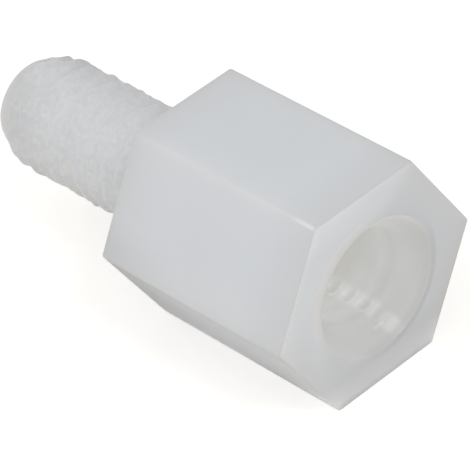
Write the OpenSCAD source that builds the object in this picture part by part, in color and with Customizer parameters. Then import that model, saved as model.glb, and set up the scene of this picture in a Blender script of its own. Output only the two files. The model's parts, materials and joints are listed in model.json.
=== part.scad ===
// Hex standoff with a threaded stud at one end and a tapped hole at the other.
// It is one piece of moulded nylon, for an M3 screw thread, and it lies here on one of its
// six flats. X runs along the piece from the stud to the tapped hole, and Z is up.
// The origin is on the surface that it lies on, half way along its whole length.
// Each thread stands as the plain cylinder over its tops: the outer one on the stud, and
// the inner one in the hole. All sizes are in millimetres.

/* [Body] */
// Width of the hexagon across two opposite flats
flats = 5.4; // [5:0.1:6]
// Length of the hexagonal body, between its two end faces
body_len = 6; // [5:0.5:12]
// Radius of the edges round both end faces
edge_r = 0.1; // [0.05:0.01:0.2]
// How far the six long edges stand back from a sharp corner
corner_cut = 0.02; // [0.01:0.01:0.1]

/* [Stud] */
// Diameter of the stud over its thread
stud_d = 3; // [2.6:0.1:3.6]
// Length of the stud from the body's shoulder to its tip
stud_len = 5.8; // [4:0.1:10]
// Length of the taper that leads the stud into a hole
lead_len = 0.7; // [0.3:0.1:1.5]
// Diameter of the stud's flat tip
tip_d = 2.3; // [1.8:0.1:2.5]

/* [Tapped hole] */
// Diameter of the hole over the tops of its thread
bore_d = 2.5; // [2:0.1:3]
// Thickness of the solid floor between the hole and the shoulder
floor_t = 1; // [0.6:0.1:2.5]
// Diameter of the countersunk mouth at the end face
mouth_d = 3.7; // [3.2:0.1:4.2]
// Depth of the countersink
mouth_depth = 0.6; // [0.3:0.1:1]
// Length of the taper at the bottom of the hole
foot_len = 0.4; // [0.2:0.1:0.8]
// Diameter of the hole's flat bottom
foot_d = 1.7; // [1:0.1:1.9]

/* [Hidden] */
$fn = 96;

// Height of the piece's axis above the surface that it lies on
axis_z = flats / 2;
// Diameter across the long edges
corner_d = 2 * (flats / sqrt(3) - corner_cut);
// The body's two ends, with the origin half way along the whole piece
shoulder_x = (stud_len - body_len) / 2;
end_x = shoulder_x + body_len;
// Length that a piece runs into its neighbour, and a cutter out past its face
past = 0.5;

// Rectangle with round corners, on the centre
module round_rectangle(size_x, size_y, r) {
    square([size_x - 2 * r, size_y], center = true);
    square([size_x, size_y - 2 * r], center = true);
    for (x = [-1, 1], y = [-1, 1])
        translate([x * (size_x / 2 - r), y * (size_y / 2 - r)]) circle(r);
}

// Plate as thick as the body is across its flats, with round edges at the body's ends
module plate() {
    rotate([90, 0, 0])
        linear_extrude(2 * corner_d, center = true)
            round_rectangle(body_len, flats, edge_r);
}

// Hexagonal bar along X, on the centre: what three crossed plates have in common, turned
// down a little over its long edges
module hex_bar() {
    intersection() {
        intersection_for (turn = [0:60:120]) rotate([turn, 0, 0]) plate();
        rotate([0, 90, 0])
            cylinder(h = body_len + 2 * past, d = corner_d, center = true);
    }
}

// Threaded stud from the shoulder out to its tip, with the taper at the tip
module stud() {
    full_len = stud_len - lead_len;
    rotate([0, -90, 0]) {
        translate([0, 0, -past]) cylinder(h = full_len + past, d = stud_d);
        translate([0, 0, full_len]) cylinder(h = lead_len, d1 = stud_d, d2 = tip_d);
    }
}

// Cutter for the tapped hole, from out past its mouth down to its flat bottom
module tapped_hole() {
    straight_len = body_len - floor_t - mouth_depth - foot_len;
    // The countersink keeps its slope where its cutter runs out past the end face
    slope = (mouth_d - bore_d) / mouth_depth;
    rotate([0, -90, 0]) {
        translate([0, 0, -past])
            cylinder(h = past + mouth_depth, d1 = mouth_d + slope * past, d2 = bore_d);
        translate([0, 0, mouth_depth]) cylinder(h = straight_len, d = bore_d);
        translate([0, 0, mouth_depth + straight_len])
            cylinder(h = foot_len, d1 = bore_d, d2 = foot_d);
    }
}

// The whole piece
module hex_standoff() {
    color([0.8, 0.81, 0.82])
        translate([0, 0, axis_z])
            difference() {
                union() {
                    translate([(shoulder_x + end_x) / 2, 0, 0]) hex_bar();
                    translate([shoulder_x, 0, 0]) stud();
                }
                translate([end_x, 0, 0]) tapped_hole();
            }
}

hex_standoff();
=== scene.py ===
import json
import math

import bmesh
import bpy
from mathutils import Matrix, Vector, noise


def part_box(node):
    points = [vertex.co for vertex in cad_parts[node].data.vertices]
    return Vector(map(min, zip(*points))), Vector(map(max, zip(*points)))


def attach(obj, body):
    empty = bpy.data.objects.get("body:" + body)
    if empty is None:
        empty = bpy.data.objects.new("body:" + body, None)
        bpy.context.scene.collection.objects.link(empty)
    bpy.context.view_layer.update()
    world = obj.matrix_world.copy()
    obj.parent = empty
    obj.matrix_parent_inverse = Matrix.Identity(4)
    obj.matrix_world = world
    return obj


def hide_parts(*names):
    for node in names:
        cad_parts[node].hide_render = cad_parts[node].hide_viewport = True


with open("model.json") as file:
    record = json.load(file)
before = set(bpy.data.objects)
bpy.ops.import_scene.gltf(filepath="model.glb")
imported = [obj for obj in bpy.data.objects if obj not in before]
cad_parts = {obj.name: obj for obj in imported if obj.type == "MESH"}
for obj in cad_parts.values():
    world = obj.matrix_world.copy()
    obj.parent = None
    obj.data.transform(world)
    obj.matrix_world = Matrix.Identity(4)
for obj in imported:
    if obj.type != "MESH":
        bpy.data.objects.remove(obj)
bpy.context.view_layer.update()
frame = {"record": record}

# ---------------------------------------------------------------- the standoff
# One piece of natural nylon, moulded whole: a hexagonal body, a threaded stud at one end
# and a blind hole at the other, which is threaded to take the stud of another standoff.
# Its skin runs without a break from the body over the stud and down into the hole.

MM = 0.001                      # the piece is shaped in millimetres and ends up in metres
low, high = [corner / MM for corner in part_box("hex_standoff")]
mounts = {mount["name"]: mount for mount in frame["record"]["mounts"]}

axis_z = high.z / 2
flats = high.z - low.z
corner_r = flats / math.sqrt(3)
edge_reach = 0.058              # how far the round edges of the body reach along its faces
edge_steps = 6
tip_x = low.x
end_x = high.x
shoulder_x = mounts["shoulder"]["pos_m"][0] / MM
lip = 0.04                      # how far the rim of the mouth stands out from the end face
face_x = end_x - lip
body_len = face_x - shoulder_x

pitch = 0.5                     # of an M3 thread
stud_r = mounts["stud"]["dims"]["r_mm"]
stud_root_r = stud_r - 0.11
stud_straight = mounts["stud"]["dims"]["length_mm"]
stud_swell = 0.035              # how much the stud's skin swells and shrinks, as a share
swell_grain = 4
swell_fade = 0.3                # over which length it fades out at either end
tip_r = 1.15

bore_r = mounts["tapped_hole"]["dims"]["r_mm"]
bore_root_r = 1.39
lip_r = 1.78
lip_foot_r = 1.94
mouth_depth = 0.6
mouth_round = 0.05              # how softly the bore runs out into the flare of the mouth
drag_line = math.radians(-72)   # where the core dragged on the thread as it was turned out
drag_width = math.radians(10)
faint = 0.2                     # the share of the thread's depth that is left elsewhere
floor_x = shoulder_x + 1.0      # the flat bottom of the hole
foot_r = 0.85


def hexagonal_body():
    """The outside of the body, with every edge rounded and both end faces taken out."""
    bm = bmesh.new()
    upright = Matrix.Rotation(math.radians(90), 4, "Y")
    bmesh.ops.create_cone(bm, cap_ends=True, segments=6, depth=body_len,
                          radius1=corner_r, radius2=corner_r, matrix=upright)
    bmesh.ops.translate(bm, vec=((shoulder_x + face_x) / 2, 0, 0), verts=bm.verts)
    bmesh.ops.bevel(bm, geom=bm.edges[:], offset=edge_reach, offset_type="OFFSET",
                    segments=edge_steps, profile=0.5, affect="EDGES", material=-1,
                    clamp_overlap=False)
    ends = [face for face in bm.faces
            if abs(face.normal.x) > 0.999 and face.calc_area() > 1]
    bmesh.ops.delete(bm, geom=ends, context="FACES_ONLY")
    return bm


def turned_thread(crest_r, root_r, start_x, turns, points=12, steps=120):
    """A tube that winds along X as a right-hand screw, with a rounded crest and root."""
    bm = bmesh.new()
    line = []
    for count in range(turns * points + 1):
        sunk = (1 - math.cos(2 * math.pi * count / points)) / 2
        reach = crest_r + (root_r - crest_r) * sunk
        line.append(bm.verts.new((start_x + pitch * count / points, 0, reach)))
    for near, far in zip(line, line[1:]):
        bm.edges.new((near, far))
    bmesh.ops.spin(bm, geom=bm.verts[:] + bm.edges[:], cent=(0, 0, 0), axis=(1, 0, 0),
                   dvec=(pitch / steps, 0, 0), angle=2 * math.pi, steps=steps)
    bmesh.ops.remove_doubles(bm, verts=bm.verts, dist=0.0005)
    return bm


def cut_square(bm, x, side):
    """Cuts the tube square at x, and keeps what lies towards the other side."""
    bmesh.ops.bisect_plane(bm, geom=bm.verts[:] + bm.edges[:] + bm.faces[:], dist=1e-5,
                           plane_co=(x, 0, 0), plane_no=(side, 0, 0), clear_outer=True)


def scale_round(vert, share):
    """Moves a point straight towards the axis or away from it."""
    vert.co.y *= share
    vert.co.z *= share


def radius_of(vert):
    return math.hypot(vert.co.y, vert.co.z)


def turn_down(bm, radius_at):
    """Turns the tube down to the radius that radius_at gives, where it is wider."""
    for vert in bm.verts:
        scale_round(vert, min(1, radius_at(vert.co.x) / radius_of(vert)))


def open_rim(bm):
    return [edge for edge in bm.edges if len(edge.link_faces) == 1]


def open_rim_at(bm, x):
    return [edge for edge in open_rim(bm)
            if all(abs(vert.co.x - x) < 1e-3 for vert in edge.verts)]


def end_face_between(bm, rims):
    """Fills the flat ring between a round rim and the hexagon's six corners. Each corner is
    joined to the round rim from 30 degrees before it to 30 degrees after it."""
    around = {vert for edge in rims for vert in edge.verts}
    corners = {vert for vert in around if radius_of(vert) > lip_foot_r + 0.26}

    def turn(vert):
        start = math.pi / 6 if vert in corners else 0
        return (math.atan2(vert.co.z, vert.co.y) - start) % (2 * math.pi)

    around = sorted(around, key=turn)
    last = {vert in corners: vert for vert in around}
    for vert in around:
        bm.faces.new((last[vert in corners], vert, last[vert not in corners]))
        last[vert in corners] = vert


# the stud, with its lead turned down towards the tip and its skin a little uneven
stud_tube = turned_thread(stud_r, stud_root_r, tip_x - 2 * pitch, 16)
cut_square(stud_tube, tip_x, -1)
cut_square(stud_tube, shoulder_x, 1)
lead_x = shoulder_x - stud_straight
lead_slope = (stud_r - tip_r) / (lead_x - tip_x)
turn_down(stud_tube, lambda x: tip_r + (x - tip_x) * lead_slope)
for vert in stud_tube.verts:
    from_ends = min(shoulder_x - vert.co.x, vert.co.x - tip_x)
    swell = stud_swell * (noise.noise(vert.co * swell_grain) - 0.3)
    scale_round(vert, 1 + swell * min(1, from_ends / swell_fade))
bmesh.ops.holes_fill(stud_tube, edges=open_rim_at(stud_tube, tip_x), sides=0)

# the hole: the same from inside. Its thread is faint, apart from the line where the core
# dragged, and runs out over the flare of the mouth.
hole_tube = turned_thread(bore_r, bore_root_r, floor_x - 2 * pitch, 14)
cut_square(hole_tube, floor_x, -1)
cut_square(hole_tube, end_x, 1)
mouth_slope = (lip_r - bore_r) / mouth_depth
for vert in hole_tube.verts:
    from_mouth = end_x - vert.co.x
    off_line = abs(math.atan2(vert.co.z, vert.co.y) - drag_line) / drag_width
    groove = (radius_of(vert) - bore_r) * (faint + (1 - faint) * math.exp(-off_line ** 2))
    flare = lip_r - bore_r - from_mouth * mouth_slope
    flare = mouth_round * math.log1p(math.exp(flare / mouth_round))
    wide = bore_r + flare + groove * min(1, from_mouth / mouth_depth)
    scale_round(vert, wide / radius_of(vert))
lip_ring = bmesh.ops.extrude_edge_only(hole_tube, edges=open_rim_at(hole_tube, end_x))["geom"]
for vert in [piece for piece in lip_ring if isinstance(piece, bmesh.types.BMVert)]:
    scale_round(vert, lip_foot_r / lip_r)
    vert.co.x = face_x
turn_down(hole_tube, lambda x: foot_r + (x - floor_x))
bmesh.ops.holes_fill(hole_tube, edges=open_rim_at(hole_tube, floor_x), sides=0)

# the skin: the three are joined, and each end face is drawn in between its two rims
skin = hexagonal_body()
for tube in (stud_tube, hole_tube):
    part = bpy.data.meshes.new("part")
    tube.to_mesh(part)
    skin.from_mesh(part)
    bpy.data.meshes.remove(part)
    tube.free()
for x in (shoulder_x, face_x):
    end_face_between(skin, open_rim_at(skin, x))
bmesh.ops.recalc_face_normals(skin, faces=skin.faces)
bmesh.ops.translate(skin, vec=(0, 0, axis_z), verts=skin.verts)
bmesh.ops.scale(skin, vec=(MM, MM, MM), verts=skin.verts)

mesh = bpy.data.meshes.new("standoff")
skin.to_mesh(mesh)
skin.free()
for polygon in mesh.polygons:
    polygon.use_smooth = True
mesh.set_sharp_from_angle(angle=math.radians(35))
standoff = bpy.data.objects.new("standoff", mesh)
bpy.context.collection.objects.link(standoff)
even_shading = standoff.modifiers.new("even_shading", "WEIGHTED_NORMAL")
even_shading.keep_sharp = True


class Wire:
    """A value in a material's node tree, on which sums are written as in Python."""

    def __init__(self, tree, socket=None):
        self.tree = tree
        self.socket = socket

    def feed(self, target):
        self.tree.links.new(self.socket, target)

    def node(self, kind, settings=None, output=0, **sockets):
        """A new node, its settings made first, then its sockets given values or links."""
        made = self.tree.nodes.new(kind)
        for name, value in (settings or {}).items():
            setattr(made, name, value)
        for name, value in sockets.items():
            if name.startswith("input_"):
                target = made.inputs[int(name[6:])]
            else:
                target = made.inputs[name.replace("_", " ")]
            if isinstance(value, Wire):
                value.feed(target)
            else:
                target.default_value = value
        return Wire(self.tree, made.outputs[output])

    def math(self, operation, first, second=0.0):
        return self.node("ShaderNodeMath", {"operation": operation},
                         input_0=first, input_1=second)

    def dot(self, direction):
        return self.node("ShaderNodeVectorMath", {"operation": "DOT_PRODUCT"}, "Value",
                         input_0=self, input_1=direction)

    def blend(self, share, first, second):
        return self.node("ShaderNodeMix", {"data_type": "RGBA"}, 2,
                         input_0=share, input_6=first, input_7=second)

    def noise(self, scale, detail):
        return self.node("ShaderNodeTexNoise", Vector=self, Scale=scale, Detail=detail)

    def ramp(self, start, end):
        """0 up to start, 1 from end on, and a smooth rise between."""
        return self.node("ShaderNodeMapRange", {"interpolation_type": "SMOOTHSTEP"},
                         Value=self, From_Min=start, From_Max=end)

    def reach(self, start, end):
        """The same for a place or a radius, with start and end in millimetres."""
        return self.ramp(start * MM, end * MM)

    def __add__(self, other):
        return self.math("ADD", self, other)

    def __radd__(self, other):
        return self.math("ADD", other, self)

    def __sub__(self, other):
        return self.math("SUBTRACT", self, other)

    def __rsub__(self, other):
        return self.math("SUBTRACT", other, self)

    def __mul__(self, other):
        return self.math("MULTIPLY", self, other)

    def __rmul__(self, other):
        return self.math("MULTIPLY", other, self)


def new_material(name):
    """A new material, the start of its wires, and its shader."""
    material = bpy.data.materials.new(name)
    material.use_nodes = True
    tree = material.node_tree
    return material, Wire(tree), tree.nodes["Principled BSDF"]


nylon, wires, nylon_shader = new_material("natural_nylon")
place = wires.node("ShaderNodeTexCoord", output="Object")
facing = wires.node("ShaderNodeTexCoord", output="Normal")
along = place.node("ShaderNodeSeparateXYZ", Vector=place)
up = place.node("ShaderNodeSeparateXYZ", output="Z", Vector=place)
from_axis = place.node("ShaderNodeMapping", Vector=place, Location=(0, 0, -axis_z * MM),
                       Scale=(0, 1, 1))
radius = place.node("ShaderNodeVectorMath", {"operation": "LENGTH"}, "Value",
                    input_0=from_axis)
right = from_axis.dot((0, 0.77, -0.64))
across = from_axis.dot((0, -math.sin(drag_line), math.cos(drag_line)))
grains_per_metre = 6000.0
clouds_per_metre = 500.0
grain = place.noise(grains_per_metre, 3.0)
speck = place.noise(grains_per_metre, 2.0)
cloud = place.noise(clouds_per_metre, 2.0)

# where each stretch of the skin lies
on_stud = along.reach(shoulder_x, shoulder_x - 0.1)
in_root = on_stud * radius.reach(stud_r - 0.01, stud_root_r)
in_hole = radius.reach(lip_r + 0.04, lip_r) * along.reach(floor_x - 0.1, floor_x)
deep = in_hole * along.reach(end_x - 0.2, end_x - 1.4)
far = deep * along.reach(end_x - 1.2, end_x - 2.6)
roof = in_hole * up.reach(axis_z + 0.2, axis_z + 1.6)
right_wall = in_hole * across.reach(0.7, 1.2) * along.reach(end_x - 1.6, end_x - 1.1)
right_wall = right_wall * along.reach(end_x - 0.15, end_x - 0.45)
# painted shade: the inner brim of the mouth on its right side, given more black further down
painted_shade_in_brim = in_hole * radius.reach(lip_r - 0.18, lip_r - 0.03) * right.reach(0.2, 1.0)
away = place.node("ShaderNodeSeparateXYZ", Vector=facing).ramp(-0.15, -0.55)
at_lip = along.reach(face_x - 0.02, face_x) * (1 - in_hole)
# painted light: less black on the end face left of the mouth and on its upper left
painted_light_near_mouth = at_lip * radius.reach(2.6, 2.0) * right.reach(-0.4, -1.2)
painted_light_above_mouth = at_lip * up.reach(4.5, 5.0) * right.reach(-0.2, -1.0)
hem = up.reach(0.4, 0.0)
low_wall = up.reach(0.9, 0.0) * along.reach(end_x - 1.5, end_x)
low_face = up.reach(axis_z + 0.04, axis_z - 0.2)

# painted light and shade: painted glints on the crests along the drag line, a painted shade arc
# round the lip's lower right and a painted highlight round its upper left, a painted highlight
# at the mouth end of the upper left long edge, and a painted glint dash in the mouth
line = across.reach(-0.3, -0.1) * across.reach(0.3, 0.1) * up.reach(2.0, 1.7)
# painted glints: lighter crests along the drag line in the hole, lifted further by a faint emission
painted_glints = radius.reach(bore_r + 0.12, bore_r + 0.03)
painted_glints = painted_glints + radius.reach(bore_r + 0.17, bore_r + 0.25) * radius.reach(lip_r - 0.06, lip_r - 0.14)
painted_glints = painted_glints * line * in_hole
# painted shade: a darker arc round the lip on its lower right side
painted_shade_arc = at_lip * radius.reach(lip_r - 0.03, lip_r + 0.04)
painted_shade_arc = painted_shade_arc * radius.reach(lip_foot_r + 0.12, lip_foot_r - 0.02) * right.reach(0.5, 1.6)
# painted highlight: a lighter band round the lip on its upper left side
painted_catch_light = at_lip * radius.reach(lip_r + 0.01, lip_r + 0.04)
painted_catch_light = painted_catch_light * radius.reach(lip_foot_r + 0.16, lip_foot_r - 0.06) * right.reach(-1.0, -1.6)
# painted highlight: less black near the mouth end of the upper left long edge
painted_ridge_highlight = radius.reach(corner_r - 0.036, corner_r - 0.021) * right.reach(-2.6, -2.8)
painted_ridge_highlight = painted_ridge_highlight * along.reach(end_x - 1.0, end_x - 0.25) * along.reach(end_x - 0.02, end_x - 0.14)
# painted glint: a short lighter dash near the start of the thread in the mouth
painted_glint_dash = across.reach(-0.4, -0.34) * across.reach(-0.06, -0.12) * up.reach(2.0, 1.7)
painted_glint_dash = painted_glint_dash * along.reach(end_x - 0.41, end_x - 0.38) * in_hole
painted_glint_dash = painted_glint_dash * along.reach(end_x - 0.33, end_x - 0.36)

# the colour: cool and cloudy on the body, and on the stud light flecks that are painted
# glints. The rest is painted light and shade: lighter roots in the stud's thread, a hole that
# is greyer and then lighter and warmer deeper in, for the light through the wall, and the
# painted glints, shade arc and highlights of the lip and mouth
shade = place.blend(cloud, (0.848, 0.872, 0.92, 1), (0.868, 0.892, 0.94, 1))
painted_stud_sparkle = place.blend(speck.ramp(0.4, 0.72), (0.82, 0.842, 0.883, 1), (0.92, 0.94, 0.98, 1))
for share, tint in (
        (on_stud, painted_stud_sparkle),
        # painted light: lighter roots, against the shade in the stud's grooves
        (in_root * 0.5, (0.94, 0.955, 0.98, 1)),
        # in the hole: greyer, then lighter and warmer deeper in, painted light for the light through
        # the wall
        (in_hole, (0.842, 0.848, 0.85, 1)),
        (deep, (0.8925, 0.9005, 0.8985, 1)),
        (far, (0.94, 0.935, 0.9, 1)),
        (painted_glints, (0.98, 0.98, 0.98, 1)),
        (painted_shade_arc, (0.755, 0.765, 0.785, 1)),
        (painted_catch_light, (0.97, 0.965, 0.96, 1))):
    shade = place.blend(share, shade, tint)
shade.feed(nylon_shader.inputs["Base Color"])

# painted light: an emission, though the nylon is no lamp, standing in for the little light
# that comes through the wall and up from the card. It lights the hole deep down, its roof,
# its right wall and the flanks there that face inwards, the low wall near the mouth and the
# bottom edge, and it lifts the painted glints along the drag line
glow = deep * (0.018 + away * 0.06) + far * 0.032 + roof * 0.09 + low_wall * 0.05 + hem * 0.04
glow = glow + right_wall * 0.04 + painted_glints * 0.04
glow.feed(nylon_shader.inputs["Emission Color"])

# the gloss is satin, lower in the hole, and the grain is a fiftieth of a millimetre high
gloss = 0.28 + grain * 0.1 + in_hole * (0.3 - line * 0.37)
gloss.feed(nylon_shader.inputs["Roughness"])
grain_height = 0.02
rough = grain * 0.1 * (1 - in_hole) + on_stud * speck
height = place.node("ShaderNodeBump", Strength=1.0, Distance=grain_height * MM, Height=rough)
height.feed(nylon_shader.inputs["Normal"])

scatter_length = 1.3
for name, value in {
        "Emission Strength": 1.0,
        "IOR": 1.53,
        "Specular IOR Level": 0.25,
        "Subsurface Weight": 1.0,
        "Subsurface Radius": (1.0, 1.0, 1.0),
        "Subsurface Scale": scatter_length * MM}.items():
    nylon_shader.inputs[name].default_value = value

# the tone: natural nylon is greyer than it scatters, so a share of dull black is let in. The
# share is changed by place to paint light and shade: less in the hole, near the bottom, left
# of the mouth, on the stud's underside and at the painted highlights, and more on the lower
# faces, towards the shoulder, in a band near the stud's tip and in the mouth's right brim
black_share = 0.22
black_kept_under_painted_light = (1 - painted_ridge_highlight * 0.5) * (1 - painted_glint_dash * 0.6) * (1 - painted_light_near_mouth * 0.25) * (1 - deep)
black_kept_under_painted_light = black_kept_under_painted_light * (1 - in_hole * 0.25) * (1 - low_wall * 0.8) * (1 - hem * 0.4)
black_kept_under_painted_light = black_kept_under_painted_light * (1 - at_lip * right.reach(-1.2, -2.2) * 0.2) * (1 - painted_light_above_mouth * 0.2)
# painted light: less black on the stud's flanks that face the tip, to lift their shade
painted_light_on_tip_flanks = away * along.reach(tip_x + 0.7, tip_x + 0.9) * 0.05
# painted light: less black on the stud's lower side, away from its tip
painted_light_under_stud = on_stud * along.reach(tip_x + 0.5, tip_x + 3) * up.reach(3.3, 2.6) * 0.04
# painted shade: more black in a band on the stud's upper side near its tip
painted_tip_shade = along.reach(tip_x + 2.2, tip_x + 0.6) * up.reach(2.5, 3.1) * up.reach(4.15, 3.9)
painted_tip_shade = painted_tip_shade * (1 - along.reach(tip_x + 0.3, tip_x)) * 0.075
# painted shade: more black on the body, most on the faces below the axis and towards the shoulder,
# and some on the upper faces near the mouth end
painted_body_shade = along.reach(shoulder_x + 3.1, shoulder_x + 0.1) * 0.09 + 0.05
painted_body_shade = painted_body_shade * low_face * (1 - up.reach(1.7, 0.3) * 0.35)
painted_body_shade = painted_body_shade + low_face * up.reach(2.0, 2.5) * 0.035
painted_body_shade = painted_body_shade + along.reach(shoulder_x + 1.6, shoulder_x + 0.1) * 0.03
painted_body_shade = painted_body_shade + (along.reach(shoulder_x + 2.7, shoulder_x + 0.3) * up.reach(3.7, 2.9)
                   * up.reach(axis_z - 0.1, axis_z + 0.06) * 0.06)
painted_body_shade = painted_body_shade + along.reach(end_x - 1.7, end_x - 0.2) * up.reach(2.4, axis_z + 0.04) * 0.05
painted_body_shade = painted_body_shade * (1 - on_stud) * (1 - at_lip) * (1 - in_hole)
# the black share: the nylon's own dull tone, with the painted light and shade above added in
dull_tone_and_painted_shade = black_kept_under_painted_light * black_share + on_stud * (0.02 - painted_light_on_tip_flanks) + painted_tip_shade + painted_body_shade
dull_tone_and_painted_shade = dull_tone_and_painted_shade - painted_light_under_stud + painted_shade_in_brim * 0.06
dull_black = wires.node("ShaderNodeBsdfPrincipled", Base_Color=(0, 0, 0, 1), Roughness=1.0,
                        Specular_IOR_Level=0.0)
toned = wires.node("ShaderNodeMixShader", Fac=dull_tone_and_painted_shade,
                   input_1=Wire(nylon.node_tree, nylon_shader.outputs["BSDF"]),
                   input_2=dull_black)
toned.feed(nylon.node_tree.nodes["Material Output"].inputs["Surface"])
standoff.data.materials.append(nylon)

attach(standoff, "root")
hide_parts("hex_standoff")

# ---------------------------------------------------------------- floor
# A wide sheet of matt white card under the piece, which takes its soft shadow. It shows
# whiter than it lights, so that the ground is near white and the piece keeps its tone.

floor_size = 4.0
card_colour = (0.82, 0.795, 0.76, 1)
card_whitened = 0.45
floor_mesh = bpy.data.meshes.new("floor")
card = bmesh.new()
bmesh.ops.create_grid(card, x_segments=1, y_segments=1, size=floor_size / 2)
card.to_mesh(floor_mesh)
card.free()
floor = bpy.data.objects.new("floor", floor_mesh)
bpy.context.collection.objects.link(floor)
white_card, card_wires, card_shader = new_material("white_card")
seen = card_wires.node("ShaderNodeLightPath", output="Is Camera Ray")
for ray in ("Is Glossy Ray", "Is Transmission Ray"):
    seen = seen.math("MAXIMUM", seen, card_wires.node("ShaderNodeLightPath", output=ray))
whitened = seen * card_whitened
whitened.feed(card_shader.inputs["Emission Color"])
card_shader.inputs["Emission Strength"].default_value = 1.0
card_shader.inputs["Base Color"].default_value = card_colour
card_shader.inputs["Roughness"].default_value = 1.0
card_shader.inputs["Specular IOR Level"].default_value = 0.0
floor_mesh.materials.append(white_card)

# ---------------------------------------------------------------- light
# An even white room and three lamps: one in front that shines into the hole, a broad one
# beside the stud for the near faces, and a small one behind for the long edges.

scene = bpy.context.scene
room_light = 0.62
world = bpy.data.worlds.new("room")
scene.world = world
world.use_nodes = True
world_shader = world.node_tree.nodes["Background"]
world_shader.inputs["Color"].default_value = (1.0, 1.0, 1.0, 1)
world_shader.inputs["Strength"].default_value = room_light

middle = Vector((0, 0, axis_z * MM))
lamp_distance = 0.15
for name, towards, size, power in (
        ("front", (0.62, -0.03, 0.785), 0.05, 0.036),
        ("side", (-0.3, -0.7, 0.6), 0.1, 0.044),
        ("back", (-0.563, -0.294, 0.772), 0.01, 0.006)):
    lamp_data = bpy.data.lights.new(name, "AREA")
    lamp_data.shape = "DISK"
    lamp_data.size = size
    lamp_data.energy = power
    lamp = bpy.data.objects.new(name, lamp_data)
    bpy.context.collection.objects.link(lamp)
    direction = Vector(towards).normalized()
    lamp.location = middle + direction * lamp_distance
    lamp.rotation_mode = "QUATERNION"
    lamp.rotation_quaternion = direction.to_track_quat("Z", "Y")

# ---------------------------------------------------------------- camera
# A long lens, a hand's breadth away, that looks down over the mouth of the hole with the
# stud behind. It is tilted a little on its own axis.

aim = Vector((0.974, 0.084, 1.798)) * MM
camera_distance = 93.1 * MM
azimuth = math.radians(-38.8)
elevation = math.radians(38.08)
roll = math.radians(8.71)
camera_data = bpy.data.cameras.new("camera")
camera_data.lens = 300.0
camera_data.clip_start = 0.001
camera_data.clip_end = 10.0
camera = bpy.data.objects.new("camera", camera_data)
bpy.context.collection.objects.link(camera)
towards = Vector((math.cos(elevation) * math.cos(azimuth),
                  math.cos(elevation) * math.sin(azimuth), math.sin(elevation)))
camera.location = aim + towards * camera_distance
level = towards.to_track_quat("Z", "Y").to_matrix()
camera.rotation_mode = "QUATERNION"
camera.rotation_quaternion = (level @ Matrix.Rotation(-roll, 3, "Z")).to_quaternion()
scene.camera = camera
scene.view_settings.view_transform = "Standard"
